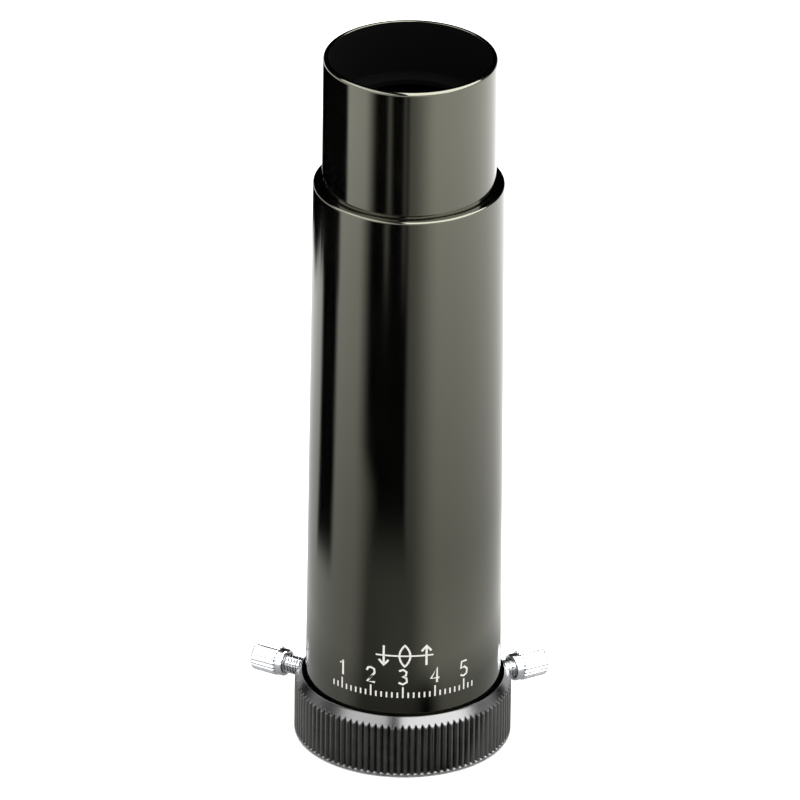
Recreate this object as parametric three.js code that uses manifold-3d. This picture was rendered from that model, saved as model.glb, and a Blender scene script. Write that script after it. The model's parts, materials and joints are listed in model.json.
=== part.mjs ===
// Erecting eyepiece tube for telescopes with 1.25 inch fittings, standing on its eyepiece end.
//
// A slim insertion barrel pushes into the telescope at the top. The main tube holds two cemented
// doublets that turn the picture upright, and its lower bore takes the observer's own eyepiece.
// A knurled collar closes the lower end, and two thumbscrews run through it to clamp the eyepiece.
//
// Millimetres. +Z is the optical axis, z = 0 is the face that the eyepiece's shoulder rests on,
// and the thumbscrews point to +X and -X, turned towards +Y.

import * as THREE from 'three';
import { mergeVertices } from 'three/addons/utils/BufferGeometryUtils.js';
import Module from 'manifold-3d';

const wasm = await Module();
wasm.setup();

// ---- Driving dimensions ---------------------------------------------------------------------

const OVERALL_LENGTH = 137;          // eyepiece end to the mouth of the insertion barrel
const FITTING_DIAMETER = 31.7;       // the 1.25 inch push fit, on the barrel and in the socket

const BARREL_EXPOSED = 25;             // barrel length that stands out of the main tube
const BARREL_SEATED = 12;            // barrel length bonded inside the main tube
const BARREL_WALL = 1.0;
const BARREL_LIP_ROUND = 0.45;

const TUBE_WALL_TOP = 1.55;
const TUBE_WALL_BOTTOM = 2.05;       // the tube is drafted, so its wall grows towards the collar
const TUBE_END_ROUND = 0.4;
const SOCKET_DEPTH = 38;             // how deep the lower bore goes before it narrows
const LAND_STEP = 1.6;               // how far the inner land stands in from the bore

const COLLAR_HEIGHT = 12;
const COLLAR_WALL = 2.0;             // outside of the tube to the crests of the knurling
const COLLAR_LIP = 1.2;              // floor of the collar, under the end of the tube
const COLLAR_RIM = 0.6;              // plain band below the knurling
const COLLAR_LAND = 0.6;             // flat top of the collar, next to the tube
const COLLAR_SHOULDER_DROP = 1.9;    // how far the top slopes down to the knurling
const COLLAR_MOUTH_BEVEL = 0.5;
const COLLAR_KNURL_COUNT = 100;
const COLLAR_KNURL_DEPTH = 0.45;

const LENS_DIAMETER = 22;
const CROWN_RADIUS = 35;             // strong outer curve of each crown, facing the stop
const CEMENT_RADIUS = 23;            // cemented curve between crown and flint
const FLINT_RADIUS = 220;            // weak outer curve of each flint
const CROWN_EDGE = 1.9;              // thickness of each crown at its edge
const FLINT_THICKNESS = 2.0;         // on the axis
const LENS_SEAT_WIDTH = 1.1;         // how much of a lens's edge its seat covers
const SPACER_LENGTH = 2.6;
const STOP_THICKNESS = 0.6;
const STOP_APERTURE = 17;
const RETAINER_HEIGHT = 1.5;
const RETAINER_SLOT = 1.4;           // width of the two spanner slots
const RETAINER_SLOT_DEPTH = 0.8;
const CELL_SEAT = 1.2;               // floor of the cell, behind the rear doublet
const CELL_RIM = 0.8;                // cell wall that stands beyond the retainer
const CELL_WALL = 1.6;
const CELL_BAND = 3;                 // length of each full-diameter band of the cell

const SLEEVE_LENGTH = 8;
const SLEEVE_WALL = 1.2;
const FRONT_BAFFLE_THICKNESS = 0.8;
const FRONT_BAFFLE_APERTURE = 25;
const REAR_BAFFLE_THICKNESS = 1.0;
const REAR_BAFFLE_APERTURE = 21;
const FIELD_STOP_DEPTH = 10;         // below the mouth of the barrel
const FIELD_STOP_THICKNESS = 1.2;
const FIELD_STOP_APERTURE = 23;

const SCREW_DIAMETER = 3.5;          // M3.5 x 0.6 thumbscrews
const SCREW_HEIGHT = 6.65;           // screw axis above the eyepiece end
const SCREW_BEARING = 30;            // degrees behind the X axis, so the two are 120 apart
const SCREW_TIP_RECESS = 0.3;        // how far the left tip is drawn back inside the wall
const SCREW_TIP_BEVEL = 0.4;
const LEFT_STANDOFF = 4.55;          // collar crests to the nose of the head, as it rests
const RIGHT_STANDOFF = 2.95;
const HEAD_DIAMETER = 5.45;
const HEAD_KNURL_LENGTH = 5.2;
const HEAD_KNURL_COUNT = 22;
const HEAD_KNURL_DEPTH = 0.22;
const HEAD_BEVEL = 0.35;
const HUB_LENGTH = 1.6;              // smooth round nose of the head
const HUB_DIAMETER = 5.1;
const HUB_NOSE_ROUND = 0.6;
const HEAD_SOCKET_DEPTH = 3.4;       // how far the stud goes into the head

// Clearances, each between two pieces that fit.
const SLIP_FIT = 0.05;               // radial, between nested round pieces
const SEAT_GAP = 0.1;                // along the axis, between pieces that rest on each other
const CEMENT_GAP = 0.05;             // between crown and flint
const SCREW_FIT = 0.1;               // radial, stud in its hole
const STUD_END_GAP = 0.3;            // stud to the bottom of the head's socket

const TURNING_SIDES = 48;            // sides of the large turned pieces
const SCREW_SIDES = 16;
const LENS_STEPS = 3;                // steps along each lens curve
const ROUND_STEPS = 3;               // steps along each rounded edge
const MERGE_TOLERANCE = 1e-4;

// ---- Stations along the axis and radii, worked out from the dimensions above -------------------

const barrelRadius = FITTING_DIAMETER / 2;
const boreRadius = barrelRadius + SLIP_FIT;
const tubeRadiusTop = boreRadius + TUBE_WALL_TOP;
const tubeRadiusBottom = boreRadius + TUBE_WALL_BOTTOM;
const landRadius = boreRadius - LAND_STEP;
const collarRadius = tubeRadiusBottom + COLLAR_WALL;
const lensRadius = LENS_DIAMETER / 2;
const cellBoreRadius = lensRadius + SLIP_FIT;

const tubeTop = OVERALL_LENGTH - BARREL_EXPOSED;
const barrelInnerEnd = tubeTop - BARREL_SEATED;
const frontBaffleBase = barrelInnerEnd - SEAT_GAP - FRONT_BAFFLE_THICKNESS;
const sleeveBase = frontBaffleBase - SEAT_GAP - SLEEVE_LENGTH;
const cellTop = sleeveBase - SEAT_GAP;

const crownSag = sag(CROWN_RADIUS, lensRadius);
const cementSag = sag(CEMENT_RADIUS, lensRadius);
const flintSag = sag(FLINT_RADIUS, lensRadius);
const flintEdge = FLINT_THICKNESS + cementSag - flintSag;

// Distances from the stop's middle plane, the same on both sides of it.
const spacerStart = STOP_THICKNESS / 2 + SEAT_GAP;
const crownStart = spacerStart + SPACER_LENGTH + SEAT_GAP;
const flintStart = crownStart + CROWN_EDGE + CEMENT_GAP;
const lensSeatStart = flintStart + flintEdge + SEAT_GAP;

const stopPlane = cellTop - CELL_RIM - RETAINER_HEIGHT - lensSeatStart;
const cellBase = stopPlane - lensSeatStart - CELL_SEAT;
const landTop = cellBase - SEAT_GAP;

const wallAtScrew = collarRadius - boreRadius;
const studReach = LEFT_STANDOFF + wallAtScrew - SCREW_TIP_RECESS;

// ---- Shape helpers ---------------------------------------------------------------------------

// Depth of a spherical curve of the given radius at a distance from the axis.
function sag(radius, distance) {
  return radius - Math.sqrt(radius * radius - distance * distance);
}

// A closed solid from any three.js geometry, with shared corners joined and collapsed faces left out.
function solidFrom(geometry) {
  geometry.deleteAttribute('normal');
  geometry.deleteAttribute('uv');
  const merged = mergeVertices(geometry, MERGE_TOLERANCE);
  const corners = merged.index.array;
  const kept = [];
  for (let i = 0; i < corners.length; i += 3) {
    const [a, b, c] = [corners[i], corners[i + 1], corners[i + 2]];
    if (a !== b && b !== c && c !== a) kept.push(a, b, c);
  }
  return new wasm.Manifold(new wasm.Mesh({
    numProp: 3,
    vertProperties: Float32Array.from(merged.attributes.position.array),
    triVerts: Uint32Array.from(kept),
  }));
}

// Turns a closed outline of [radius, height] points about the Z axis.
function turned(outline, sides = TURNING_SIDES) {
  let doubleArea = 0;
  outline.forEach(([r, z], i) => {
    const [nextR, nextZ] = outline[(i + 1) % outline.length];
    doubleArea += r * nextZ - nextR * z;
  });
  const ordered = doubleArea > 0 ? outline : [...outline].reverse();
  const points = [...ordered, ordered[0]].map(([r, z]) => new THREE.Vector2(r, z));
  const geometry = new THREE.LatheGeometry(points, sides);
  geometry.rotateX(Math.PI / 2);
  return solidFrom(geometry);
}

// A flat ring with square edges.
function ring(innerRadius, outerRadius, base, top) {
  return turned([[innerRadius, base], [outerRadius, base], [outerRadius, top], [innerRadius, top]]);
}

// Points of a quarter round between two corners, bulging towards the third.
function quarterRound([r0, z0], [r1, z1], [cornerR, cornerZ]) {
  const points = [];
  for (let i = 0; i <= ROUND_STEPS; i += 1) {
    const angle = (Math.PI / 2) * (i / ROUND_STEPS);
    const [towards0, towards1] = [1 - Math.sin(angle), 1 - Math.cos(angle)];
    points.push([
      cornerR + (r0 - cornerR) * towards0 + (r1 - cornerR) * towards1,
      cornerZ + (z0 - cornerZ) * towards0 + (z1 - cornerZ) * towards1,
    ]);
  }
  return points;
}

// A prism with straight V grooves all round, from base to top.
function groovedPrism(radius, depth, count, base, top) {
  const outline = new THREE.Shape();
  for (let i = 0; i < 2 * count; i += 1) {
    const angle = (Math.PI * i) / count;
    const r = i % 2 === 0 ? radius : radius - depth;
    if (i === 0) outline.moveTo(r, 0);
    else outline.lineTo(r * Math.cos(angle), r * Math.sin(angle));
  }
  outline.closePath();
  const geometry = new THREE.ExtrudeGeometry(outline, { depth: top - base, bevelEnabled: false });
  geometry.translate(0, 0, base);
  return solidFrom(geometry);
}

// A radial drill through the wall on the bearing of one thumbscrew.
function screwDrill(bearing) {
  const length = 2 * COLLAR_WALL + collarRadius;
  const geometry = new THREE.CylinderGeometry(
    SCREW_DIAMETER / 2 + SCREW_FIT, SCREW_DIAMETER / 2 + SCREW_FIT, length, SCREW_SIDES);
  geometry.rotateZ(-Math.PI / 2);
  geometry.translate(length / 2 + boreRadius / 2, 0, 0);
  geometry.rotateZ(bearing);
  geometry.translate(0, 0, SCREW_HEIGHT);
  return solidFrom(geometry);
}

const rightBearing = THREE.MathUtils.degToRad(SCREW_BEARING);
const leftBearing = Math.PI - rightBearing;

function drilledForScrews(body) {
  return body.subtract(screwDrill(rightBearing)).subtract(screwDrill(leftBearing));
}

// ---- Housing ---------------------------------------------------------------------------------

// The drafted main tube, bored from both ends up to an inner land that the lens cell rests on.
function mainTube() {
  const base = COLLAR_LIP + SEAT_GAP;
  const round = Math.min(TUBE_END_ROUND, TUBE_WALL_TOP / 3);
  return drilledForScrews(turned([
    [boreRadius, base],
    [tubeRadiusBottom, base],
    [tubeRadiusBottom, COLLAR_HEIGHT],
    ...quarterRound([tubeRadiusTop, tubeTop - round], [tubeRadiusTop - round, tubeTop],
      [tubeRadiusTop, tubeTop]),
    ...quarterRound([boreRadius + round, tubeTop], [boreRadius, tubeTop - round], [boreRadius, tubeTop]),
    [boreRadius, landTop],
    [landRadius, landTop],
    [landRadius, SOCKET_DEPTH],
    [boreRadius, SOCKET_DEPTH],
  ]));
}

// The push-fit barrel that goes into the telescope.
function insertionBarrel() {
  const innerRadius = barrelRadius - BARREL_WALL;
  const round = Math.min(BARREL_LIP_ROUND, BARREL_WALL * 0.45);
  return turned([
    [innerRadius, barrelInnerEnd],
    [barrelRadius, barrelInnerEnd],
    ...quarterRound([barrelRadius, OVERALL_LENGTH - round], [barrelRadius - round, OVERALL_LENGTH],
      [barrelRadius, OVERALL_LENGTH]),
    ...quarterRound([innerRadius + round, OVERALL_LENGTH], [innerRadius, OVERALL_LENGTH - round],
      [innerRadius, OVERALL_LENGTH]),
  ]);
}

// The knurled collar around the eyepiece end, with a floor under the end of the tube.
function eyepieceCollar() {
  const counterbore = tubeRadiusBottom + SLIP_FIT;
  const knurlTop = COLLAR_HEIGHT - COLLAR_SHOULDER_DROP;
  const blank = turned([
    [boreRadius + COLLAR_MOUTH_BEVEL, 0],
    [collarRadius, 0],
    [collarRadius, knurlTop],
    [counterbore + COLLAR_LAND, COLLAR_HEIGHT],
    [counterbore, COLLAR_HEIGHT],
    [counterbore, COLLAR_LIP],
    [boreRadius, COLLAR_LIP],
    [boreRadius, COLLAR_MOUTH_BEVEL],
  ], 2 * COLLAR_KNURL_COUNT);
  const knurled = groovedPrism(
    collarRadius, COLLAR_KNURL_DEPTH, COLLAR_KNURL_COUNT, COLLAR_RIM, COLLAR_HEIGHT + COLLAR_RIM);
  const rim = turned([[0, -COLLAR_RIM], [collarRadius, -COLLAR_RIM], [collarRadius, COLLAR_RIM],
    [0, COLLAR_RIM]], 2 * COLLAR_KNURL_COUNT);
  return drilledForScrews(blank.intersect(knurled.add(rim)));
}

// ---- Lens assembly ---------------------------------------------------------------------------

// Points along one lens surface, from the axis to the edge, at a height given for each distance.
function lensCurve(heightAt) {
  const points = [];
  for (let i = 0; i <= LENS_STEPS; i += 1) {
    const distance = (lensRadius * i) / LENS_STEPS;
    points.push([distance, heightAt(distance)]);
  }
  return points;
}

// side is +1 for the doublet in front of the stop and -1 for the one behind it.
function crownLens(side) {
  const near = (r) => stopPlane + side * (crownStart - crownSag + sag(CROWN_RADIUS, r));
  const far = (r) => stopPlane + side * (crownStart + CROWN_EDGE + cementSag - sag(CEMENT_RADIUS, r));
  return turned([...lensCurve(near), ...lensCurve(far).reverse()]);
}

function flintLens(side) {
  const near = (r) => stopPlane + side * (flintStart + cementSag - sag(CEMENT_RADIUS, r));
  const far = (r) => stopPlane + side * (flintStart + flintEdge + flintSag - sag(FLINT_RADIUS, r));
  return turned([...lensCurve(near), ...lensCurve(far).reverse()]);
}

// A spacer between the stop and a crown, with a conical seat that follows the crown's curve.
function lensSpacer(side) {
  const innerRadius = lensRadius - LENS_SEAT_WIDTH;
  const seat = (r) => stopPlane + side * (crownStart - SEAT_GAP - crownSag + sag(CROWN_RADIUS, r));
  const start = stopPlane + side * spacerStart;
  return turned([
    [innerRadius, start],
    [lensRadius, start],
    [lensRadius, seat(lensRadius)],
    [innerRadius, seat(innerRadius)],
  ]);
}

function apertureStop() {
  return ring(STOP_APERTURE / 2, lensRadius, stopPlane - STOP_THICKNESS / 2, stopPlane + STOP_THICKNESS / 2);
}

// The ring that holds the stack of lenses down, with two slots for a spanner.
function lensRetainer() {
  const base = stopPlane + lensSeatStart;
  const top = base + RETAINER_HEIGHT;
  const slots = new THREE.BoxGeometry(3 * lensRadius, RETAINER_SLOT, 2 * RETAINER_SLOT_DEPTH);
  slots.translate(0, 0, top);
  return ring(lensRadius - LENS_SEAT_WIDTH, lensRadius, base, top).subtract(solidFrom(slots));
}

// The spool-shaped cell: a floor behind the rear flint, and two bands that fit the tube's bore.
function lensCell() {
  const waist = cellBoreRadius + CELL_WALL;
  return turned([
    [lensRadius - LENS_SEAT_WIDTH, cellBase],
    [barrelRadius, cellBase],
    [barrelRadius, cellBase + CELL_BAND],
    [waist, cellBase + CELL_BAND],
    [waist, cellTop - CELL_BAND],
    [barrelRadius, cellTop - CELL_BAND],
    [barrelRadius, cellTop],
    [cellBoreRadius, cellTop],
    [cellBoreRadius, cellBase + CELL_SEAT],
    [lensRadius - LENS_SEAT_WIDTH, cellBase + CELL_SEAT],
  ]);
}

// ---- Stops and baffles -------------------------------------------------------------------------

// The sleeve between the lens cell and the front baffle, which the barrel's inner end holds down.
function cellSleeve() {
  return ring(barrelRadius - SLEEVE_WALL, barrelRadius, sleeveBase, sleeveBase + SLEEVE_LENGTH);
}

function frontBaffle() {
  return ring(FRONT_BAFFLE_APERTURE / 2, barrelRadius, frontBaffleBase,
    frontBaffleBase + FRONT_BAFFLE_THICKNESS);
}

// Pressed against the lower face of the tube's land, at the bottom of the eyepiece socket.
function rearBaffle() {
  const top = SOCKET_DEPTH - SEAT_GAP;
  return ring(REAR_BAFFLE_APERTURE / 2, barrelRadius, top - REAR_BAFFLE_THICKNESS, top);
}

// The ring inside the barrel where the telescope's own image is formed.
function fieldStop() {
  const top = OVERALL_LENGTH - FIELD_STOP_DEPTH;
  return ring(FIELD_STOP_APERTURE / 2, barrelRadius - BARREL_WALL - SLIP_FIT,
    top - FIELD_STOP_THICKNESS, top);
}

// ---- Thumbscrews -------------------------------------------------------------------------------

// Both pieces are made along +Z from the nose of the head, which is z = 0, outwards.
function screwStud() {
  const radius = SCREW_DIAMETER / 2;
  return turned([
    [0, -studReach],
    [radius - SCREW_TIP_BEVEL, -studReach],
    [radius, -studReach + SCREW_TIP_BEVEL],
    [radius, HEAD_SOCKET_DEPTH - STUD_END_GAP],
    [0, HEAD_SOCKET_DEPTH - STUD_END_GAP],
  ], SCREW_SIDES);
}

function screwHead() {
  const socketRadius = SCREW_DIAMETER / 2 + SCREW_FIT;
  const end = HUB_LENGTH + HEAD_KNURL_LENGTH;
  const sides = 2 * HEAD_KNURL_COUNT;
  const noseRound = Math.min(HUB_NOSE_ROUND, HUB_DIAMETER / 2 - socketRadius);
  const hub = turned([
    [0, 0],
    ...quarterRound([HUB_DIAMETER / 2 - noseRound, 0], [HUB_DIAMETER / 2, noseRound],
      [HUB_DIAMETER / 2, 0]),
    [HUB_DIAMETER / 2, HUB_LENGTH + HEAD_BEVEL],
    [0, HUB_LENGTH + HEAD_BEVEL],
  ], sides);
  const gripBlank = turned([
    [0, HUB_LENGTH],
    [HEAD_DIAMETER / 2, HUB_LENGTH],
    [HEAD_DIAMETER / 2, end - HEAD_BEVEL],
    [HEAD_DIAMETER / 2 - HEAD_BEVEL, end],
    [0, end],
  ], sides);
  const grooves = groovedPrism(HEAD_DIAMETER / 2, HEAD_KNURL_DEPTH, HEAD_KNURL_COUNT,
    HUB_LENGTH - HEAD_BEVEL, end + HEAD_BEVEL);
  const socket = turned([
    [0, -HUB_LENGTH],
    [socketRadius, -HUB_LENGTH],
    [socketRadius, HEAD_SOCKET_DEPTH],
    [0, HEAD_SOCKET_DEPTH],
  ], SCREW_SIDES);
  return hub.add(gripBlank.intersect(grooves)).subtract(socket);
}

// A thumbscrew's two pieces in a group turned so that its own +Z points outwards on a bearing.
function thumbscrew(side, bearing, standoff) {
  const alongScrew = new THREE.Group();
  alongScrew.position.set(collarRadius + standoff, 0, SCREW_HEIGHT);
  alongScrew.rotation.y = Math.PI / 2;
  alongScrew.add(
    piece(`${side}_screw_stud`, screwStud(), chrome()),
    piece(`${side}_screw_head`, screwHead(), chrome()),
  );
  const aroundTube = new THREE.Group();
  aroundTube.rotation.z = bearing;
  aroundTube.add(alongScrew);
  return aroundTube;
}

// ---- Materials ---------------------------------------------------------------------------------

function glossBlack() {
  return new THREE.MeshStandardMaterial({ color: 0x0c0c0c, roughness: 0.18, metalness: 0.0 });
}

function knurledBlack() {
  return new THREE.MeshStandardMaterial({ color: 0x2a2b28, roughness: 0.35, metalness: 0.2 });
}

function flatBlack() {
  return new THREE.MeshStandardMaterial({ color: 0x141414, roughness: 0.85, metalness: 0.0 });
}

function blackedAluminium() {
  return new THREE.MeshStandardMaterial({ color: 0x1d1d1f, roughness: 0.5, metalness: 0.6 });
}

function chrome() {
  return new THREE.MeshStandardMaterial({ color: 0xe6e8ea, roughness: 0.12, metalness: 1.0 });
}

function glass(color) {
  return new THREE.MeshStandardMaterial({
    color, roughness: 0.03, metalness: 0.0, transparent: true, opacity: 0.35,
  });
}

// ---- Assembly ----------------------------------------------------------------------------------

function piece(name, body, material) {
  const { vertProperties, triVerts } = body.getMesh();
  const geometry = new THREE.BufferGeometry();
  geometry.setAttribute('position', new THREE.BufferAttribute(vertProperties, 3));
  geometry.setIndex(new THREE.BufferAttribute(triVerts, 1));
  geometry.computeVertexNormals();
  const mesh = new THREE.Mesh(geometry, material);
  mesh.name = name;
  return mesh;
}

const eyepiece = new THREE.Group();
eyepiece.add(
  piece('main_tube', mainTube(), glossBlack()),
  piece('insertion_barrel', insertionBarrel(), glossBlack()),
  piece('eyepiece_collar', eyepieceCollar(), knurledBlack()),
  piece('lens_cell', lensCell(), blackedAluminium()),
  piece('rear_flint_lens', flintLens(-1), glass(0xdfe8e2)),
  piece('rear_crown_lens', crownLens(-1), glass(0xe6eef0)),
  piece('rear_lens_spacer', lensSpacer(-1), blackedAluminium()),
  piece('aperture_stop', apertureStop(), flatBlack()),
  piece('front_lens_spacer', lensSpacer(1), blackedAluminium()),
  piece('front_crown_lens', crownLens(1), glass(0xe6eef0)),
  piece('front_flint_lens', flintLens(1), glass(0xdfe8e2)),
  piece('lens_retainer', lensRetainer(), blackedAluminium()),
  piece('cell_sleeve', cellSleeve(), flatBlack()),
  piece('front_baffle', frontBaffle(), flatBlack()),
  piece('rear_baffle', rearBaffle(), flatBlack()),
  piece('field_stop', fieldStop(), flatBlack()),
  thumbscrew('right', rightBearing, RIGHT_STANDOFF),
  thumbscrew('left', leftBearing, LEFT_STANDOFF),
);

export default eyepiece;
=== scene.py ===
import json
import math

import bpy
import numpy as np
from mathutils import Matrix, Vector


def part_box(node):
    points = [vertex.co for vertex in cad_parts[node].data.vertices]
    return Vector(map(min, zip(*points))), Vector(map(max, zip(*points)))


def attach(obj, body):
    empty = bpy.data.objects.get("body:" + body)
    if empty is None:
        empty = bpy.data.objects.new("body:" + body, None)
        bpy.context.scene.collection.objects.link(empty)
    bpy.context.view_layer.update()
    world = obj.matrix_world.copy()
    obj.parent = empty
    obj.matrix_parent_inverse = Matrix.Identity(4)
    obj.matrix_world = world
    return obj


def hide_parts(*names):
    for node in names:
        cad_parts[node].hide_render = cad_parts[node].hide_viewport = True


# Erecting eyepiece tube: gloss black barrel and tube, knurled black collar, two chrome thumbscrews.
# Outlines are in millimetres as (radius, height) about the tube's axis; meshes are made in metres.

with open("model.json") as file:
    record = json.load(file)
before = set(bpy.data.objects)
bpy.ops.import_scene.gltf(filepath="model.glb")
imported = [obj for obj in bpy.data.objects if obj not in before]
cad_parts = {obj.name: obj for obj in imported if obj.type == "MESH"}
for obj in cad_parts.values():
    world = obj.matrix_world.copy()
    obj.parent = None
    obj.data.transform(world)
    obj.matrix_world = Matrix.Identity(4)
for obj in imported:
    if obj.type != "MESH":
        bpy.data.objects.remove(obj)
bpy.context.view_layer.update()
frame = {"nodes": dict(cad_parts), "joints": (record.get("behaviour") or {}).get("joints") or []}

MM = 0.001        # one millimetre in metres

# ---- Sizes in millimetres that the frame's boxes don't give --------------------------------------

BARREL_WALL = 1.0
BARREL_LIP_ROUND = 0.6
TUBE_WALL_TOP = 1.55          # wall of the main tube at its top end
BORE_CLEARANCE = 0.05         # between the bore and the pieces that stand in it
SOCKET_DEPTH = 38.0           # height at which the inner land begins
LAND_STEP = 1.6               # how far the land stands in from the bore

COLLAR_LIP = 1.2              # floor of the collar under the tube
COLLAR_RIM = 0.6              # plain band below the knurls
COLLAR_LAND = 0.6             # flat top next to the tube
COLLAR_SHOULDER_DROP = 1.9    # how far the top slopes down to the knurls
COLLAR_KNURLS = 100
COLLAR_KNURL_DEPTH = 0.45
COLLAR_CREST = 0.3            # share of the pitch that a crest takes up
COLUMNS_PER_COLLAR_KNURL = 12

HEAD_RADIUS = 2.725
HEAD_KNURL_LENGTH = 5.2
HEAD_KNURLS = 22
HEAD_KNURL_DEPTH = 0.22
HEAD_CREST = 0.45
COLUMNS_PER_HEAD_KNURL = 14
HUB_LENGTH = 1.6              # smooth nose of the head
HUB_RADIUS = 2.55
HEAD_SOCKET_DEPTH = 3.4       # how far the stud goes into the head
STUD_END_GAP = 0.3            # between the stud and the floor of that socket

SCREW_RADIUS = 1.75
SCREW_FIT = 0.1
SCREW_PITCH = 0.6
SCREW_TIP_RECESS = 0.3        # how far the left tip rests back inside the wall
LEFT_STANDOFF = 4.55          # from the collar's crests to the left head's nose at rest
THREAD_DEPTH = 0.3
THREAD_ROWS = 14              # rows of points per turn of thread
STUD_COLUMNS = 64

CROWN_CURVE = 35.0            # radii of the lens surfaces
CEMENT_CURVE = 23.0
FLINT_CURVE = 220.0
SEAT_STEP = 1.1               # how far a seat reaches in over a lens's edge
CELL_WALL = 1.6
CELL_BAND = 3.0
CELL_LIP = 1.2
SLEEVE_WALL = 1.2
FRONT_BAFFLE_BORE = 12.5
REAR_BAFFLE_BORE = 10.5
FIELD_STOP_BORE = 11.5
APERTURE_STOP_BORE = 8.5
RETAINER_SLOT = 1.4
RETAINER_SLOT_DEPTH = 0.8

ROUND_COLUMNS = 256
SMALL_COLUMNS = 96


def extent(node):
    """Largest radius about the tube's axis, lowest and highest point of a CAD node, in millimetres."""
    low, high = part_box(node)
    return high.x / MM, low.z / MM, high.z / MM


# ---- Materials -----------------------------------------------------------------------------------


def linear(code):
    """sRGB hex colour to a linear RGBA value."""
    parts = [int(code[i:i + 2], 16) / 255 for i in (1, 3, 5)]
    return (*[c / 12.92 if c <= 0.04045 else ((c + 0.055) / 1.055) ** 2.4 for c in parts], 1.0)


def add(tree, kind, inputs=(), **settings):
    """Adds a node with its settings; inputs maps a socket to a value or to (node, output)."""
    made = tree.nodes.new(kind)
    for key, value in settings.items():
        setattr(made, key, value)
    for socket, value in dict(inputs).items():
        if isinstance(value, tuple) and isinstance(value[0], bpy.types.Node):
            tree.links.new(value[0].outputs[value[1]], made.inputs[socket])
        else:
            made.inputs[socket].default_value = value
    return made


def principled(name, **sockets):
    """A new material with one Principled shader; sockets are its fixed values, with _ for a space."""
    made = bpy.data.materials.new(name)
    made.use_nodes = True
    tree = made.node_tree
    tree.nodes.clear()
    shader = add(tree, "ShaderNodeBsdfPrincipled", {k.replace("_", " "): v for k, v in sockets.items()})
    add(tree, "ShaderNodeOutputMaterial", {"Surface": (shader, "BSDF")})
    return made, tree, shader


def noise(tree, size_mm, detail=3.0, stretch=(1, 1, 1)):
    """Noise on the object's own coordinates whose features are about size_mm across."""
    place = add(tree, "ShaderNodeTexCoord")
    turned = add(tree, "ShaderNodeMapping", {"Vector": (place, "Object"), "Scale": stretch})
    return add(tree, "ShaderNodeTexNoise",
               {"Vector": (turned, "Vector"), "Scale": 1 / (size_mm * MM), "Detail": detail})


def spread(tree, source, output, low, high, from_low=0.35, from_high=0.65):
    """Maps the middle of a pattern to a range of values."""
    return add(tree, "ShaderNodeMapRange",
               {"Value": (source, output), "From Min": from_low, "From Max": from_high,
                "To Min": low, "To Max": high})


def gloss_black_lacquer():
    """Black lacquer over anodised aluminium: deep black with hard, faintly warm reflections, an
    orange peel about 1.5 mm across, and handling marks that show only as a change of gloss."""
    made, tree, shader = principled(
        "gloss_black_lacquer", IOR=1.77, Specular_Tint=linear("#fffee7"))
    stain = noise(tree, 9, detail=5)
    tone = add(tree, "ShaderNodeMix", {"Factor": (stain, "Fac"), "A": linear("#010101"),
                                       "B": linear("#030303")}, data_type="RGBA")
    wipe = noise(tree, 5, detail=6, stretch=(1, 1, 0.35))
    gloss = spread(tree, wipe, "Fac", 0.07, 0.12)
    peel = noise(tree, 1.5, detail=2)
    bump = add(tree, "ShaderNodeBump",
               {"Height": (peel, "Fac"), "Strength": 0.1, "Distance": 0.01 * MM})
    tree.links.new(tone.outputs["Result"], shader.inputs["Base Color"])
    tree.links.new(gloss.outputs["Result"], shader.inputs["Roughness"])
    tree.links.new(bump.outputs["Normal"], shader.inputs["Normal"])
    return made


def flat_black_paint():
    """Matt anti-glare paint: nearly no reflection, with a fine grit of about 0.15 mm."""
    made, tree, shader = principled("flat_black_paint", IOR=1.3, Specular_IOR_Level=0.08)
    grit = noise(tree, 0.15, detail=2)
    tone = add(tree, "ShaderNodeMix", {"Factor": (grit, "Fac"), "A": linear("#010101"),
                                       "B": linear("#030303")}, data_type="RGBA")
    rough = spread(tree, grit, "Fac", 0.82, 0.95)
    bump = add(tree, "ShaderNodeBump",
               {"Height": (grit, "Fac"), "Strength": 0.4, "Distance": 0.02 * MM})
    tree.links.new(tone.outputs["Result"], shader.inputs["Base Color"])
    tree.links.new(rough.outputs["Result"], shader.inputs["Roughness"])
    tree.links.new(bump.outputs["Normal"], shader.inputs["Normal"])
    return made


def satin_black_knurl():
    """Black anodised knurled aluminium: the crests are polished by handling and a little paler, their
    paleness partly wear and partly a painted highlight; the grooves stay duller. The crest attribute is
    1 on a crest and 0 in a groove."""
    made, tree, shader = principled("satin_black_knurl", IOR=1.77)
    crest = add(tree, "ShaderNodeAttribute", attribute_name="crest")
    crest_patches = noise(tree, 2.5, detail=5)
    crest_wear_and_highlight = add(tree, "ShaderNodeMath", {0: (crest, "Fac"), 1: (crest_patches, "Fac")}, operation="MULTIPLY")
    # painted highlight: the knurl's crests are lightened in colour in patches, partly standing for
    # handling wear
    tone = add(tree, "ShaderNodeMix", {"Factor": (crest_wear_and_highlight, "Value"), "A": linear("#020202"),
                                       "B": linear("#2c2d2a")}, data_type="RGBA")
    rough = add(tree, "ShaderNodeMapRange", {"Value": (crest, "Fac"), "To Min": 0.2, "To Max": 0.12})
    grain = noise(tree, 0.25, detail=3)
    bump = add(tree, "ShaderNodeBump",
               {"Height": (grain, "Fac"), "Strength": 0.08, "Distance": 0.01 * MM})
    tree.links.new(tone.outputs["Result"], shader.inputs["Base Color"])
    tree.links.new(rough.outputs["Result"], shader.inputs["Roughness"])
    tree.links.new(bump.outputs["Normal"], shader.inputs["Normal"])
    return made


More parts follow.
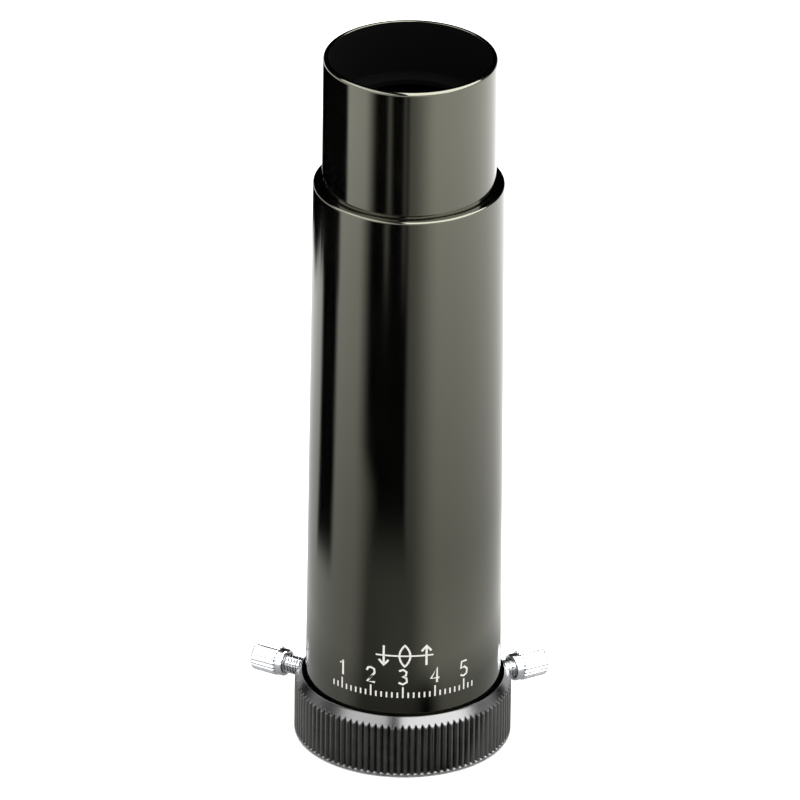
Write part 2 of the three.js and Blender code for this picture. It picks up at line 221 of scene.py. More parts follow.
def black_anodised_turning():
    """Turned aluminium, black anodised: dark metal with the lathe's rings, 0.2 mm apart."""
    made, tree, shader = principled("black_anodised_turning", IOR=1.5, Metallic=0.4)
    place = add(tree, "ShaderNodeTexCoord")
    rings = add(tree, "ShaderNodeTexWave", {"Vector": (place, "Object"), "Scale": 1 / (0.2 * MM) / 20,
                                            "Distortion": 0.4, "Detail": 1.0},
                wave_type="RINGS", rings_direction="Z")
    tone = noise(tree, 4)
    colour = add(tree, "ShaderNodeMix", {"Factor": (tone, "Fac"), "A": linear("#101011"),
                                         "B": linear("#1c1c1e")}, data_type="RGBA")
    rough = spread(tree, rings, "Fac", 0.38, 0.5, 0.0, 1.0)
    bump = add(tree, "ShaderNodeBump",
               {"Height": (rings, "Fac"), "Strength": 0.2, "Distance": 0.01 * MM})
    tree.links.new(colour.outputs["Result"], shader.inputs["Base Color"])
    tree.links.new(rough.outputs["Result"], shader.inputs["Roughness"])
    tree.links.new(bump.outputs["Normal"], shader.inputs["Normal"])
    return made


def chrome(name, gloss_low, gloss_high):
    """Chrome plate: faint hazing and fingerprints move its gloss between two roughnesses."""
    made, tree, shader = principled(name, Metallic=1.0)
    haze = noise(tree, 1.2, detail=5)
    tone = add(tree, "ShaderNodeMix", {"Factor": (haze, "Fac"), "A": linear("#c4c6c8"),
                                       "B": linear("#d6d8da")}, data_type="RGBA")
    rough = spread(tree, haze, "Fac", gloss_low, gloss_high)
    tree.links.new(tone.outputs["Result"], shader.inputs["Base Color"])
    tree.links.new(rough.outputs["Result"], shader.inputs["Roughness"])
    return made


def coated_glass(name, ior, sheen):
    """Polished optical glass with an anti-reflection coating that gives the reflection a tint."""
    made, tree, shader = principled(
        name, IOR=ior, Transmission_Weight=1.0, Specular_Tint=linear(sheen),
        Base_Color=linear("#fbfdfc"))
    polish = noise(tree, 3)
    rough = spread(tree, polish, "Fac", 0.0, 0.012)
    tree.links.new(rough.outputs["Result"], shader.inputs["Roughness"])
    return made


def white_print():
    """Screen-printed white ink: matt, very slightly uneven in cover."""
    made, tree, shader = principled("white_screen_print", IOR=1.5, Specular_IOR_Level=0.3)
    cover = noise(tree, 0.4, detail=3)
    tone = add(tree, "ShaderNodeMix", {"Factor": (cover, "Fac"), "A": linear("#8c8c86"),
                                       "B": linear("#b4b4ae")}, data_type="RGBA")
    rough = spread(tree, cover, "Fac", 0.45, 0.6)
    tree.links.new(tone.outputs["Result"], shader.inputs["Base Color"])
    tree.links.new(rough.outputs["Result"], shader.inputs["Roughness"])
    return made


LACQUER = gloss_black_lacquer()
FLAT_BLACK = flat_black_paint()
KNURL_BLACK = satin_black_knurl()
TURNED_BLACK = black_anodised_turning()
BRIGHT_CHROME = chrome("bright_chrome", 0.06, 0.16)
SATIN_CHROME = chrome("satin_chrome", 0.17, 0.24)
CROWN_GLASS = coated_glass("crown_glass_coated", 1.52, "#7c6cff")
FLINT_GLASS = coated_glass("flint_glass_coated", 1.62, "#66c98a")
PRINT = white_print()

# ---- Mesh helpers --------------------------------------------------------------------------------


def rounded(corners, steps=6):
    """Outline through corners (radius, height, round): each corner becomes a circular arc of its own
    round radius, tangent to both of its sides; a round of 0 keeps it sharp."""
    points = []
    for i, (r, z, size) in enumerate(corners):
        corner = np.array([r, z])
        if size == 0:
            points.append(corner[None])
            continue
        back = np.array(corners[i - 1][:2]) - corner
        ahead = np.array(corners[(i + 1) % len(corners)][:2]) - corner
        back, ahead = back / np.linalg.norm(back), ahead / np.linalg.norm(ahead)
        half = math.acos(np.clip(back @ ahead, -1, 1)) / 2
        middle = corner + (back + ahead) / np.linalg.norm(back + ahead) * size / math.sin(half)
        start = corner + back * size / math.tan(half) - middle
        end = corner + ahead * size / math.tan(half) - middle
        turn = math.pi - 2 * half
        t = np.linspace(0, 1, steps + 1)[:, None]
        arc = (np.sin((1 - t) * turn) * start + np.sin(t * turn) * end) / math.sin(turn)
        points.append(middle + arc)
    return np.concatenate(points)


def mesh_object(name, points, faces, materials, smooth_angle=40):
    """A mesh object from points in millimetres; faces is a list of index arrays of 3 or 4 corners."""
    mesh = bpy.data.meshes.new(name)
    mesh.from_pydata((np.asarray(points) * MM).tolist(), [],
                     [face for part in faces for face in part.tolist()])
    mesh.polygons.foreach_set("use_smooth", np.ones(len(mesh.polygons), bool))
    mesh.set_sharp_from_angle(angle=math.radians(smooth_angle))
    for material in materials:
        mesh.materials.append(material)
    made = bpy.data.objects.new(name, mesh)
    bpy.context.scene.collection.objects.link(made)
    return made


def grid_faces(rows, columns, closed_rows):
    """Quads between neighbouring rows of a grid whose columns close on themselves."""
    i = np.arange(rows if closed_rows else rows - 1)[:, None]
    j = np.arange(columns)[None, :]
    below, above = i * columns, (i + 1) % rows * columns
    ahead = (j + 1) % columns
    return np.stack([below + j, below + ahead, above + ahead, above + j], -1).reshape(-1, 4)


def turned(name, outline, materials, columns=ROUND_COLUMNS, relief=None, place=None, inner=None):
    """Carries a closed outline of (radius, height) round the Z axis: x = r cos a, y = r sin a.
    An outline that starts and ends on the axis closes at two poles. relief(angle, radius, height)
    gives a new radius; inner(radius, height) picks the faces that take the second material."""
    outline = np.asarray(outline, float)
    solid = outline[0, 0] == 0 and outline[-1, 0] == 0
    body = outline[1:-1] if solid else outline
    angle = np.linspace(0, 2 * math.pi, columns, endpoint=False)[None, :]
    radius = np.broadcast_to(body[:, :1], (len(body), columns))
    height = np.broadcast_to(body[:, 1:], (len(body), columns))
    if relief is not None:
        radius = relief(angle, radius, height)
    points = np.stack([radius * np.cos(angle), radius * np.sin(angle), height], -1).reshape(-1, 3)
    faces = [grid_faces(len(body), columns, not solid)]
    if solid:
        count, j = len(points), np.arange(columns)
        ahead, top = (j + 1) % columns, (len(body) - 1) * columns
        points = np.vstack([points, [0, 0, outline[0, 1]], [0, 0, outline[-1, 1]]])
        faces.append(np.stack([ahead, j, np.full(columns, count)], -1))
        faces.append(np.stack([top + j, top + ahead, np.full(columns, count + 1)], -1))
    middles = np.concatenate([points[f].mean(1) for f in faces])
    if place is not None:
        points = place(points)
    made = mesh_object(name, points, faces, materials)
    if inner is not None:
        picked = inner(np.hypot(middles[:, 0], middles[:, 1]), middles[:, 2]).astype(np.int32)
        made.data.polygons.foreach_set("material_index", picked)
    return made


def even_normals(piece):
    """Large faces keep their own normal and the small faces of each rounded edge blend into them."""
    modifier = piece.modifiers.new("even_normals", "WEIGHTED_NORMAL")
    modifier.keep_sharp = True
    return piece


def cut(piece, *cutters):
    """Takes the cutters' volumes out of a piece for good, and removes the cutters."""
    for cutter in cutters:
        modifier = piece.modifiers.new("cut", "BOOLEAN")
        modifier.operation, modifier.solver, modifier.object = "DIFFERENCE", "EXACT", cutter
    shown = piece.evaluated_get(bpy.context.evaluated_depsgraph_get())
    mesh = bpy.data.meshes.new_from_object(shown)
    piece.modifiers.clear()
    piece.data = mesh
    for cutter in cutters:
        bpy.data.objects.remove(cutter)
    return piece


def finish_piece(piece, body, slot, *nodes):
    """The piece gets even normals, rides on a body and stands for these CAD nodes, which are hidden;
    the slot argument is not used.
    """
    even_normals(piece)
    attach(piece, body)
    if nodes:
        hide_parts(*nodes)
    return piece


def along_screw(side):
    """A function that places points made along +Z on a thumbscrew's axis, z = 0 at the head's nose."""
    joint = next(j for j in frame["joints"] if j["name"] == f"{side}_screw_turn")
    out = np.array(joint["axis"]) / np.linalg.norm(joint["axis"])
    up = np.array([0, 0, 1.0])
    across = np.cross(up, out)
    nose = np.array(joint["pos_m"]) / MM
    return lambda points: nose + points @ np.stack([across, up, out])


# ---- Housing -------------------------------------------------------------------------------------


def screw_drills():
    """Two radial drills, one on each thumbscrew's axis, from inside the bore to outside the collar."""
    drills = []
    for side in ("right", "left"):
        radius = SCREW_RADIUS + SCREW_FIT
        outline = [(0, -12), (radius, -12), (radius, 3), (0, 3)]
        drills.append(turned(f"drill_{side}", outline, [FLAT_BLACK], SMALL_COLUMNS,
                             place=along_screw(side)))
    return drills


def ridged_wall(radius, start, end, pitch, depth):
    """A bore wall from start to end with V ridges pitch apart that dip depth into the wall."""
    count = int(abs(end - start) / pitch)
    heights = np.linspace(start, end, 2 * count + 1)
    dips = np.where(np.arange(2 * count + 1) % 2 == 1, depth, 0.0)
    return np.stack([radius + dips, heights], -1)


def insertion_barrel():
    """Slim push-fit barrel: a thin gloss tube with a full round lip and a ridged flat black bore."""
    radius, base, top = extent("insertion_barrel")
    bore = radius - BARREL_WALL
    outside = rounded([(bore, base, 0), (radius, base, 0.2), (radius, top, BARREL_LIP_ROUND),
                       (bore, top, 0.15)], 10)
    ridges = ridged_wall(bore, top - 2.5, base + 1, 0.7, 0.12)
    piece = turned("barrel_shell", np.vstack([outside, ridges]), [LACQUER, FLAT_BLACK],
                   inner=lambda r, z: (r < bore + 0.3) & (z < top - BARREL_LIP_ROUND))
    return finish_piece(piece, "tube", "gloss_black_anodised", "insertion_barrel")


def main_tube():
    """Long gloss tube with a slight draft, round top edges, and a ridged land inside the bore."""
    radius, base, top = extent("main_tube")
    bore = extent("lens_cell")[0] + BORE_CLEARANCE
    land, land_top = bore - LAND_STEP, extent("lens_cell")[1] - 0.1
    collar_top = extent("eyepiece_collar")[2]
    outline = np.vstack([
        rounded([(bore, base, 0), (radius, base, 0.2), (radius, collar_top, 0),
                 (bore + TUBE_WALL_TOP, top, 0.45), (bore, top, 0.35), (bore, land_top, 0),
                 (land, land_top, 0)], 10),
        ridged_wall(land, land_top - 0.5, SOCKET_DEPTH + 0.5, 1.0, 0.3),
        [(land, SOCKET_DEPTH), (bore, SOCKET_DEPTH)],
    ])
    piece = turned("tube_shell", outline, [LACQUER, FLAT_BLACK],
                   inner=lambda r, z: (r < bore + 0.3) & (z < top - 0.5))
    cut(piece, *screw_drills())
    return finish_piece(piece, "tube", "gloss_black_anodised", "main_tube")


def knurl_drop(angle, count, depth, crest):
    """Depth below the crests of a straight knurl: flat crests that take up this share of the pitch,
    with a V groove between them."""
    phase = (angle * count / (2 * math.pi)) % 1.0
    return depth * np.clip((np.abs(2 * phase - 1) - crest) / (1 - crest), 0, 1)


def step_up(value, low, high):
    """0 below low, 1 above high, with a smooth rise between."""
    t = np.clip((value - low) / (high - low), 0, 1)
    return t * t * (3 - 2 * t)


def eyepiece_collar():
    """Collar: a ring whose outer wall follows the lower of its turned outline and the knurl, so that
    the grooves run out as small arches through the sloped shoulder and stop above a plain rim."""
    radius, base, top = extent("eyepiece_collar")
    bore = extent("lens_cell")[0] + BORE_CLEARANCE
    counterbore = extent("main_tube")[0] + BORE_CLEARANCE
    shoulder = top - COLLAR_SHOULDER_DROP
    land = counterbore + COLLAR_LAND
    slope = np.linspace([radius - 0.12, shoulder + 0.05], [land + 0.12, top - 0.14], 26)
    outline = np.vstack([
        rounded([(bore + 0.5, base, 0.1), (radius, base, 0.22)], 6)[:-1],
        [(radius, z) for z in (0.3, 0.45, 0.55, 0.6, 0.66, 0.72, 0.8, 0.9, 3.0, 6.0, 9.0, 9.6)],
        [(radius - 0.01, shoulder - 0.25), (radius - 0.04, shoulder - 0.1)],
        slope,
        [(land + 0.06, top - 0.03), (land - 0.05, top)],
        rounded([(counterbore, top, 0.12), (counterbore, COLLAR_LIP, 0), (bore, COLLAR_LIP, 0),
                 (bore, base + 0.5, 0.1)], 4),
    ])

    def relief(angle, r, z):
        drop = knurl_drop(angle, COLLAR_KNURLS, COLLAR_KNURL_DEPTH, COLLAR_CREST)
        crest = radius - drop * step_up(z, COLLAR_RIM - 0.1, COLLAR_RIM + 0.25)
        return np.where(r > counterbore + 0.2, np.minimum(r, crest), r)

    piece = turned("collar_ring", outline, [KNURL_BLACK, FLAT_BLACK],
                   COLLAR_KNURLS * COLUMNS_PER_COLLAR_KNURL, relief,
                   inner=lambda r, z: (r < counterbore + 0.02) & (z > COLLAR_RIM))
    cut(piece, *screw_drills())
    points = np.empty(len(piece.data.vertices) * 3, np.float32)
    piece.data.vertices.foreach_get("co", points)
    x, y, z = points.reshape(-1, 3).T / MM
    height_on_knurl = (np.hypot(x, y) - (radius - COLLAR_KNURL_DEPTH)) / COLLAR_KNURL_DEPTH
    # the crest attribute drives the painted highlight and the wear on the knurl's crests
    crest = piece.data.attributes.new("crest", "FLOAT", "POINT")
    crest.data.foreach_set("value", np.clip(height_on_knurl, 0, 1).astype(np.float32))
    return finish_piece(piece, "tube", "knurled_black", "eyepiece_collar")


# ---- Lens assembly -------------------------------------------------------------------------------


def sag(curve, r):
    """Depth of a spherical curve at distance r from the axis."""
    return curve - np.sqrt(curve * curve - r * r)


def lens(node, lower, upper, glass, slot):
    """A lens between two spherical caps. lower and upper are (curve, sense), sense +1 where the
    middle stands higher than the rim and -1 where it lies lower; the edge is ground and blacked."""
    radius, base, top = extent(node)
    r = np.linspace(0, radius, 24)

    def cap(curve, sense, box_end, reaches):
        full = sag(curve, radius)
        rim = box_end - sense * full if reaches else box_end
        return np.stack([r, rim + sense * (full - sag(curve, r))], -1)

    low = cap(*lower, base, lower[1] < 0)
    high = cap(*upper, top, upper[1] > 0)
    piece = turned(node + "_body", np.vstack([low, high[::-1]]), [glass, FLAT_BLACK],
                   inner=lambda rr, z: rr > radius - 0.01)
    return finish_piece(piece, "tube", slot, node)


def lenses():
    lens("front_crown_lens", (CROWN_CURVE, -1), (CEMENT_CURVE, 1), CROWN_GLASS, "crown_glass")
    lens("front_flint_lens", (CEMENT_CURVE, 1), (FLINT_CURVE, 1), FLINT_GLASS, "flint_glass")
    lens("rear_crown_lens", (CEMENT_CURVE, -1), (CROWN_CURVE, 1), CROWN_GLASS, "crown_glass")
    lens("rear_flint_lens", (FLINT_CURVE, -1), (CEMENT_CURVE, -1), FLINT_GLASS, "flint_glass")


def plain_ring(node, bore, material, edge=0.12):
    """A turned ring that fills a CAD ring's box, with a given bore and slightly broken edges."""
    radius, base, top = extent(node)
    outline = rounded([(bore, base, edge), (radius, base, edge), (radius, top, edge),
                       (bore, top, edge)], 3)
    return turned(node + "_ring", outline, [material])


def inner_rings():
    """Sleeve, baffles, stops, spacers, retainer and cell."""
    lens_radius = extent("front_crown_lens")[0]
    seat = lens_radius - SEAT_STEP
    for node, bore in (
        ("cell_sleeve", extent("cell_sleeve")[0] - SLEEVE_WALL),
        ("front_baffle", FRONT_BAFFLE_BORE),
        ("rear_baffle", REAR_BAFFLE_BORE),
        ("field_stop", FIELD_STOP_BORE),
        ("aperture_stop", APERTURE_STOP_BORE),
    ):
        finish_piece(plain_ring(node, bore, FLAT_BLACK), "tube", "flat_black", node)
    piece = plain_ring("lens_retainer", seat, TURNED_BLACK)
    top = extent("lens_retainer")[2]
    slot_half = RETAINER_SLOT / 2
    corners = np.array([(x, y, z) for x in (-14, 14) for y in (-slot_half, slot_half)
                        for z in (top - RETAINER_SLOT_DEPTH, top + 1)])
    sides = np.array([(0, 1, 3, 2), (4, 6, 7, 5), (0, 4, 5, 1), (2, 3, 7, 6), (0, 2, 6, 4),
                      (1, 5, 7, 3)])
    cut(piece, mesh_object("spanner_slot", corners, [sides], [TURNED_BLACK]))
    finish_piece(piece, "tube", "black_aluminium", "lens_retainer")
    for node in ("front_lens_spacer", "rear_lens_spacer"):
        frame["nodes"][node].data.materials.clear()
        frame["nodes"][node].data.materials.append(TURNED_BLACK)
    lens_cell(seat, lens_radius + BORE_CLEARANCE)


def lens_cell(seat, bore):
    """Spool-shaped cell: two full-width bands with a waist between, and a lip behind the rear lens."""
    radius, base, top = extent("lens_cell")
    waist = bore + CELL_WALL
    outline = rounded([
        (seat, base, 0.2), (radius, base, 0.3), (radius, base + CELL_BAND, 0.2),
        (waist, base + CELL_BAND, 0.2), (waist, top - CELL_BAND, 0.2), (radius, top - CELL_BAND, 0.2),
        (radius, top, 0.3), (bore, top, 0.25), (bore, base + CELL_LIP, 0), (seat, base + CELL_LIP, 0.1)
    ], 4)
    piece = turned("cell_spool", outline, [TURNED_BLACK])
    return finish_piece(piece, "tube", "black_aluminium", "lens_cell")


# ---- Thumbscrews ---------------------------------------------------------------------------------


def screw_head(side):
    """Knurled head: a smooth round-nosed hub, then straight knurls between two bevels, and a face with
    a shallow turned dimple. The stud's socket is bored into the nose."""
    length = HUB_LENGTH + HEAD_KNURL_LENGTH
    grip = HEAD_RADIUS
    socket = SCREW_RADIUS + SCREW_FIT
    outline = np.vstack([
        [(0, HEAD_SOCKET_DEPTH), (socket, HEAD_SOCKET_DEPTH)],
        rounded([(socket, 0, 0.08), (HUB_RADIUS, 0, 0.55), (HUB_RADIUS, HUB_LENGTH - 0.12, 0),
                 (HUB_RADIUS - 0.1, HUB_LENGTH - 0.06, 0), (HUB_RADIUS - 0.1, HUB_LENGTH, 0)], 8),
        [(grip - 0.3, HUB_LENGTH + 0.01), (grip - 0.12, HUB_LENGTH + 0.08), (grip, HUB_LENGTH + 0.22)],
        [(grip, z) for z in np.linspace(HUB_LENGTH + 0.5, length - 0.6, 6)],
        [(grip - 0.02, length - 0.42), (grip - 0.12, length - 0.22), (grip - 0.3, length - 0.07),
         (grip - 0.5, length - 0.01), (grip - 0.7, length), (1.3, length), (1.1, length - 0.05),
         (0.6, length - 0.2), (0, length - 0.25)],
    ])

    def relief(angle, r, z):
        drop = knurl_drop(angle, HEAD_KNURLS, HEAD_KNURL_DEPTH, HEAD_CREST)
        return np.where(z > HUB_LENGTH + 0.005, np.minimum(r, grip - drop), r)

    piece = turned(f"{side}_thumbscrew_head", outline, [SATIN_CHROME],
                   HEAD_KNURLS * COLUMNS_PER_HEAD_KNURL, relief, place=along_screw(side))
    return finish_piece(piece, f"{side}_head", "bright_chrome", f"{side}_screw_head")


def screw_stud(side):
    """Threaded stud: the radius falls from crest to root and back once per pitch along a helix, so
    r = root + height * profile(z / pitch - angle / 2 pi), flattened near the bevelled tip."""
    wall = extent("eyepiece_collar")[0] - extent("lens_cell")[0] - BORE_CLEARANCE
    reach = LEFT_STANDOFF + wall - SCREW_TIP_RECESS
    end = HEAD_SOCKET_DEPTH - STUD_END_GAP
    rows = int((reach + end) / SCREW_PITCH * THREAD_ROWS)
    heights = np.linspace(-reach + 0.4, end - 0.05, rows)
    outline = np.vstack([
        [(0, -reach), (SCREW_RADIUS - 0.4, -reach)],
        np.stack([np.full_like(heights, SCREW_RADIUS), heights], -1),
        [(SCREW_RADIUS - 0.3, end), (0, end)],
    ])

    def relief(angle, r, z):
        phase = (z / SCREW_PITCH - angle / (2 * math.pi)) % 1.0
        ridge = np.clip(np.abs(2 * phase - 1) * 1.25 - 0.1, 0, 1)
        return np.where(r > SCREW_RADIUS - 0.2, r - THREAD_DEPTH * (1 - ridge), r)

    piece = turned(f"{side}_thumbscrew_stud", outline, [BRIGHT_CHROME], STUD_COLUMNS, relief,
                   place=along_screw(side))
    return finish_piece(piece, f"{side}_stud", "bright_chrome", f"{side}_screw_stud")


# ---- Printed marks -------------------------------------------------------------------------------


INK_ROOT = 0.02          # how far a stroke reaches into the tube, and how far it stands proud
INK_HEIGHT = 0.015
SCALE_FOOT = 15.5        # height of the ticks' feet
DIGIT_FOOT = 18.3
DIGIT_SIZE = 3.0
TICKS_PER_NUMBER = 6     # ticks are 1 mm apart
SIGN_MIDDLE = 24.1       # height of the sign's axis


def tube_radius_at(z):
    """Outside radius of the drafted tube at a height."""
    radius, _, top = extent("main_tube")
    collar_top = extent("eyepiece_collar")[2]
    top_radius = extent("lens_cell")[0] + BORE_CLEARANCE + TUBE_WALL_TOP
    return radius + (top_radius - radius) * (z - collar_top) / (top - collar_top)


def stroke(path, width, closed=False):
    """Points and faces of one ink stroke: a flat rectangle carried along a path of (arc, height) on
    the tube. Each point is set out from the axis by the tube's radius and turned by arc / radius."""
    path = np.asarray(path, float)
    ahead = np.roll(path, -1, 0) - np.roll(path, 1, 0) if closed else np.gradient(path, axis=0)
    ahead = ahead / np.linalg.norm(ahead, axis=1, keepdims=True)
    side = np.stack([-ahead[:, 1], ahead[:, 0]], -1) * width / 2
    edges = np.stack([path + side, path + side, path - side, path - side], 1)
    proud = np.array([-INK_ROOT, INK_HEIGHT, INK_HEIGHT, -INK_ROOT])[None, :]
    radius = tube_radius_at(edges[..., 1]) + proud
    angle = edges[..., 0] / tube_radius_at(edges[..., 1])
    points = np.stack([radius * np.sin(angle), -radius * np.cos(angle), edges[..., 1]], -1)
    faces = grid_faces(len(path), 4, closed)
    caps = [] if closed else [(3, 2, 1, 0), tuple(len(path) * 4 - 4 + np.arange(4))]
    return points.reshape(-1, 3), faces, np.array(caps, int).reshape(-1, 4)


def line(start, end, steps=8):
    """Points along a straight line."""
    return np.linspace(start, end, steps)


def ink(name, strokes):
    """Joins strokes into one printed piece that rides on the tube."""
    points, faces, count = [], [], 0
    for p, f, caps in strokes:
        points.append(p)
        faces += [f + count, caps + count]
        count += len(p)
    piece = mesh_object(name, np.vstack(points), [f for f in faces if len(f)], [PRINT])
    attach(piece, "tube")
    return piece


DIGITS = {
    1: [[(0.25, 0.75), (0.6, 1.0), (0.6, 0.0)]],
    2: [[(0.05, 0.75), (0.2, 0.95), (0.5, 1.0), (0.85, 0.9), (0.9, 0.65), (0.1, 0.0), (0.95, 0.0)]],
    3: [[(0.1, 0.9), (0.5, 1.0), (0.85, 0.85), (0.8, 0.6), (0.45, 0.52), (0.85, 0.42), (0.9, 0.15),
         (0.5, 0.0), (0.05, 0.1)]],
    4: [[(0.7, 0.0), (0.7, 1.0), (0.05, 0.3), (0.95, 0.3)]],
    5: [[(0.85, 1.0), (0.2, 1.0), (0.12, 0.55), (0.55, 0.62), (0.9, 0.42), (0.85, 0.12), (0.5, 0.0),
         (0.08, 0.1)]],
}


def digit(number, arc, height, size):
    """The strokes of one digit of a plain technical hand, with its middle at arc."""
    wide = 0.6 * size
    return [stroke([(arc - wide / 2 + wide * x, height + size * z) for x, z in path], 0.4)
            for path in DIGITS[number]]


def printed_marks():
    """A numbered scale with a longer tick at each number, and above it a lens between two arrows, one
    pointing down and one up, the sign for a picture that is turned the right way up."""
    ticks = []
    for i in range(-14, 15):
        tall = 2.2 if i % TICKS_PER_NUMBER == 0 else 1.1
        ticks.append(stroke(line((i, SCALE_FOOT), (i, SCALE_FOOT + tall), 4), 0.3))
    for number in DIGITS:
        ticks += digit(number, (number - 3) * float(TICKS_PER_NUMBER), DIGIT_FOOT, DIGIT_SIZE)
    ink("scale_print", ticks)
    middle, half = SIGN_MIDDLE, 2.2
    bulge = np.linspace(-1, 1, 24)
    left = np.stack([0.3 - 1.0 * (1 - bulge ** 2), middle + half * bulge], -1)
    right = np.stack([0.3 + 1.0 * (1 - bulge[::-1] ** 2), middle + half * bulge[::-1]], -1)
    outline = np.vstack([left[:-1], right[:-1]])[::-1]
    signs = [stroke(outline, 0.36, closed=True), stroke(line((-5.1, middle), (5.6, middle), 20), 0.3)]
    for x, sense in ((-3.6, -1), (4.3, 1)):
        tip = middle + sense * 2.0
        signs.append(stroke(line((x, middle - sense * 2.0), (x, tip - sense * 0.3), 8), 0.4))
        head = [(x - 0.9, tip - sense * 1.1), (x - 0.45, tip - sense * 0.55), (x, tip),
                (x + 0.45, tip - sense * 0.55), (x + 0.9, tip - sense * 1.1)]
        signs.append(stroke(head, 0.4))
    ink("erect_image_print", signs)


# ---- Studio --------------------------------------------------------------------------------------


FLOOR_HALF = 4000.0
FLOOR_GAP = 0.03         # keeps the floor clear of the collar's flat end
FLOOR_LIGHT = 2.4        # how bright the bare floor is in the even light
EVEN_LIGHT = 2.6
NET_LIFT = 0.6           # the net lies this far above the object's foot
TENT_RADIUS = 2200.0
TENT_OPENING = 0.9       # how much of the light comes through the tent's low front
PANEL_HEIGHT = 700.0


def floor():
    """A wide, pale, matt floor that is clear when looked at from below."""
    made, tree, shader = principled("white_floor_paint", Specular_IOR_Level=0.1, Roughness=0.9)
    mottle = noise(tree, 40)
    tone = add(tree, "ShaderNodeMix", {"Factor": (mottle, "Fac"), "A": linear("#f3f3f2"),
                                       "B": linear("#f7f7f6")}, data_type="RGBA")
    tree.links.new(tone.outputs["Result"], shader.inputs["Base Color"])
    side = add(tree, "ShaderNodeNewGeometry")
    clear = add(tree, "ShaderNodeBsdfTransparent")
    either = add(tree, "ShaderNodeMixShader", {"Fac": (side, "Backfacing"), 1: (shader, "BSDF"),
                                               2: (clear, "BSDF")})
    output = next(n for n in tree.nodes if n.bl_idname == "ShaderNodeOutputMaterial")
    tree.links.new(either.outputs["Shader"], output.inputs["Surface"])
    half, level = FLOOR_HALF, -FLOOR_GAP
    corners = np.array([(-half, -half, level), (half, -half, level), (half, half, level),
                        (-half, half, level)])
    mesh_object("floor", corners, [np.array([(0, 1, 2, 3)])], [made])


def card_material(name, level=None):
    """A studio card. Without a level it is black cloth that thins out to nothing where the cover
    attribute falls to 0; with one it shines white at that level."""
    made = bpy.data.materials.new(name)
    made.use_nodes = True
    tree = made.node_tree
    tree.nodes.clear()
    if level is not None:
        shine = add(tree, "ShaderNodeEmission", {"Color": linear("#ffffff"), "Strength": level})
        add(tree, "ShaderNodeOutputMaterial", {"Surface": (shine, "Emission")})
        return made
    amount = add(tree, "ShaderNodeAttribute", attribute_name="cover")
    clear = add(tree, "ShaderNodeBsdfTransparent")
    cloth = add(tree, "ShaderNodeBsdfDiffuse", {"Color": linear("#000000")})
    cover = add(tree, "ShaderNodeMixShader", {"Fac": (amount, "Fac"), 1: (clear, "BSDF"),
                                              2: (cloth, "BSDF")})
    add(tree, "ShaderNodeOutputMaterial", {"Surface": (cover, "Shader")})
    return made


def reflection_card(name, points, faces, material, cover=None):
    """A card that only mirror reflections see."""
    card = mesh_object(name, points, faces, [material])
    if cover is not None:
        layer = card.data.attributes.new("cover", "FLOAT", "POINT")
        layer.data.foreach_set("value", np.clip(cover, 0, 1).astype(np.float32).ravel())
    card.visible_camera = False
    card.visible_diffuse = False
    card.visible_shadow = False
    card.visible_transmission = False


def open_grid(rows, columns):
    """Quads of a grid whose two ends stay open."""
    faces = grid_faces(rows, columns, False).reshape(rows - 1, columns, 4)
    return faces[:, :-1].reshape(-1, 4)


def floor_light(azimuth, reach):
    """How bright the floor should look in a reflection, against the bare floor's FLOOR_LIGHT, by
    azimuth in degrees (0 towards the camera, 90 towards +X) and reach in millimetres: it falls off in
    painted shade towards the tube, a painted shadow of the tube lies close to its foot in front and to
    the right, and a wide soft shade lies in front of it and a narrower one on its left."""
    # painted shade: both levels fall towards the tube, where the floor lies in the tube's shade
    right = np.interp(reach, [45, 60, 100, 150, 190, 230, 280, 350],
                      [0.75, 1.4, 1.2, 1.5, 1.75, 2.0, 2.35, 2.4])
    left = np.interp(reach, [45, 60, 90, 120, 150, 180, 230, 280, 350],
                     [0.75, 1.0, 1.0, 1.1, 1.3, 1.5, 1.8, 2.2, 2.4])
    behind = step_up(azimuth, -180, -158)
    level = right + (left - right) * behind * (1 - step_up(azimuth, -40, 0))
    edge = np.interp(reach, [130, 150], [-27, -41])
    clear = 1 - step_up(azimuth, -61, edge)
    clear = clear + 0.3 * step_up(azimuth, -3, 3) + 0.7 * step_up(azimuth, 3, 38)
    far = step_up(reach, 200, 250)
    streaks = 0.25 * np.exp(-((azimuth + 25) / 3) ** 2) + 0.17 * np.exp(-((azimuth + 5) / 2.5) ** 2)
    clear = clear + far * streaks
    clear = np.maximum(clear, 0.3 * (1 - step_up(reach, 90, 125)))
    stripe = step_up(azimuth, -122, -114) * (1 - step_up(azimuth, -93, -85)) * step_up(reach, 80, 100)
    ragged = 6 * np.sin(azimuth * 0.21) + 5 * np.sin(azimuth * 0.9) * step_up(azimuth, -140, -120)
    wide = (1 - step_up(azimuth, -90, -84)) * step_up(reach + ragged, 200, 216)
    clear = clear * (1 - np.maximum(stripe, wide) * behind)
    # painted shadow: the tube's cast shadow on the floor close to its foot, put into the reflections
    near = np.exp(-((azimuth - 22) / 12) ** 2) * (1 - step_up(reach, 45, 60))
    return level * clear * (1 - near)


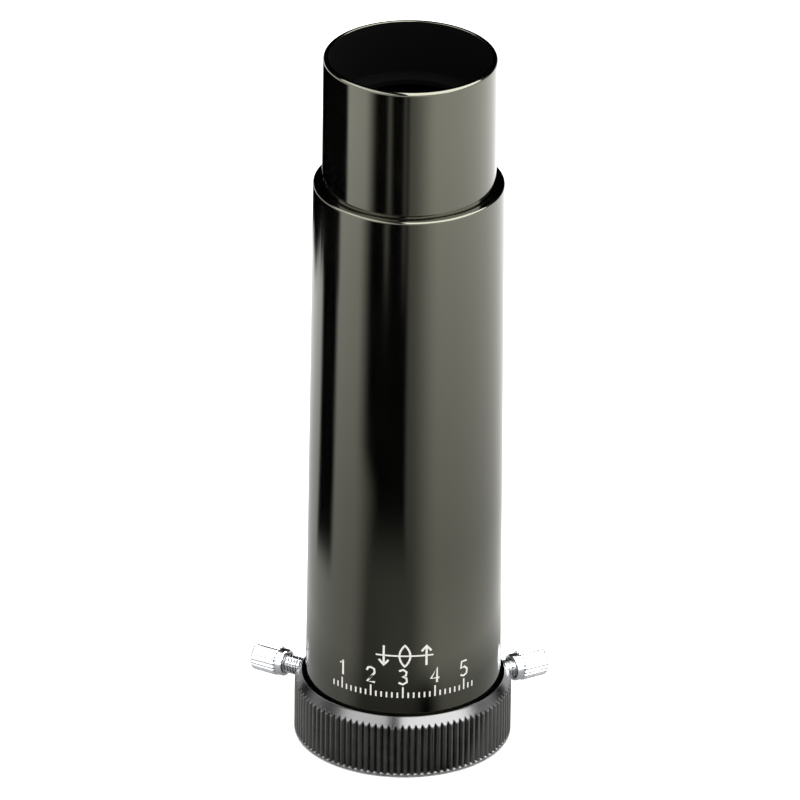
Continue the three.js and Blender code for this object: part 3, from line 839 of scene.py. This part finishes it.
def shades():
    """Black net over the floor, and a black tent whose front is open low down, for reflections only;
    the net puts painted shade and a painted shadow near the tube into the floor's reflection.
    """
    cloth = card_material("black_net")
    azimuth = np.linspace(-180, 180, 361)[None, :]
    reach = np.array([*np.arange(20, 100, 5), *np.arange(100, 300, 8),
                      *np.arange(300, 400, 20)])[:, None]
    turn = np.radians(azimuth)
    points = np.stack(np.broadcast_arrays(reach * np.sin(turn), -reach * np.cos(turn), NET_LIFT), -1)
    cover = 1 - floor_light(azimuth, reach) / FLOOR_LIGHT
    reflection_card("floor_net", points.reshape(-1, 3), [open_grid(len(reach), 361)], cloth, cover)
    rise = np.linspace(0, 90, 61)[:, None]
    lift = np.radians(rise)
    points = TENT_RADIUS * np.stack(np.broadcast_arrays(
        np.cos(lift) * np.sin(turn), -np.cos(lift) * np.cos(turn), np.sin(lift) + 0.0 * turn), -1)
    front = 1 - step_up(np.abs(azimuth), 95, 125)
    cover = 1 - TENT_OPENING * front * (1 - step_up(rise, 12, 24))
    reflection_card("tent", points.reshape(-1, 3), [open_grid(len(rise), 361)], cloth, cover)


def light_panel(name, x, y, level):
    """A flat white panel overhead, seen in the sloped shoulder and on the thumbscrews."""
    corners = np.array([(x[0], y[0], PANEL_HEIGHT), (x[0], y[1], PANEL_HEIGHT),
                        (x[1], y[1], PANEL_HEIGHT), (x[1], y[0], PANEL_HEIGHT)])
    reflection_card(name, corners, [np.array([(0, 1, 2, 3)])], card_material(name + "_cloth", level))


def studio():
    """Soft even light from all round, with panels, a net and a tent that shape the reflections."""
    floor()
    shades()
    light_panel("panel_left", (-1250, -250), (-1150, 300), 6.0)
    light_panel("panel_right", (-42, 1450), (-1150, 350), 10.0)
    world = bpy.data.worlds.new("even_light")
    world.use_nodes = True
    bpy.context.scene.world = world
    tree = world.node_tree
    tree.nodes.clear()
    sky = add(tree, "ShaderNodeBackground", {"Color": linear("#ffffff"), "Strength": EVEN_LIGHT})
    add(tree, "ShaderNodeOutputWorld", {"Surface": (sky, "Background")})
    bpy.context.scene.view_settings.view_transform = "Standard"


CAMERA_ELEVATION = 26.66      # degrees above the horizon
CAMERA_ROLL = 0.69            # degrees
CAMERA_DISTANCE = 3.0         # a long lens from far away keeps the tube's sides parallel
FIELD_WIDTH = 0.14603         # width of the picture at the tube, in metres
CAMERA_TARGET = (-0.00116, 0.0, 0.0675)


def camera():
    """The camera looks along +Y and down, and leans very slightly."""
    data = bpy.data.cameras.new("camera")
    data.sensor_width = 36.0
    data.lens = data.sensor_width * CAMERA_DISTANCE / FIELD_WIDTH
    data.clip_end = 100.0
    made = bpy.data.objects.new("camera", data)
    bpy.context.scene.collection.objects.link(made)
    lift, roll = math.radians(CAMERA_ELEVATION), math.radians(CAMERA_ROLL)
    ahead = Vector((0, math.cos(lift), -math.sin(lift)))
    right = Vector((1, 0, 0))
    up = right.cross(ahead)
    side = math.cos(roll) * right + math.sin(roll) * up
    top = math.cos(roll) * up - math.sin(roll) * right
    turn = Matrix((side, top, -ahead)).transposed().to_4x4()
    made.matrix_world = Matrix.Translation(Vector(CAMERA_TARGET) - CAMERA_DISTANCE * ahead) @ turn
    bpy.context.scene.camera = made


insertion_barrel()
main_tube()
eyepiece_collar()
lenses()
inner_rings()
for side in ("right", "left"):
    screw_head(side)
    screw_stud(side)
printed_marks()
studio()
camera()
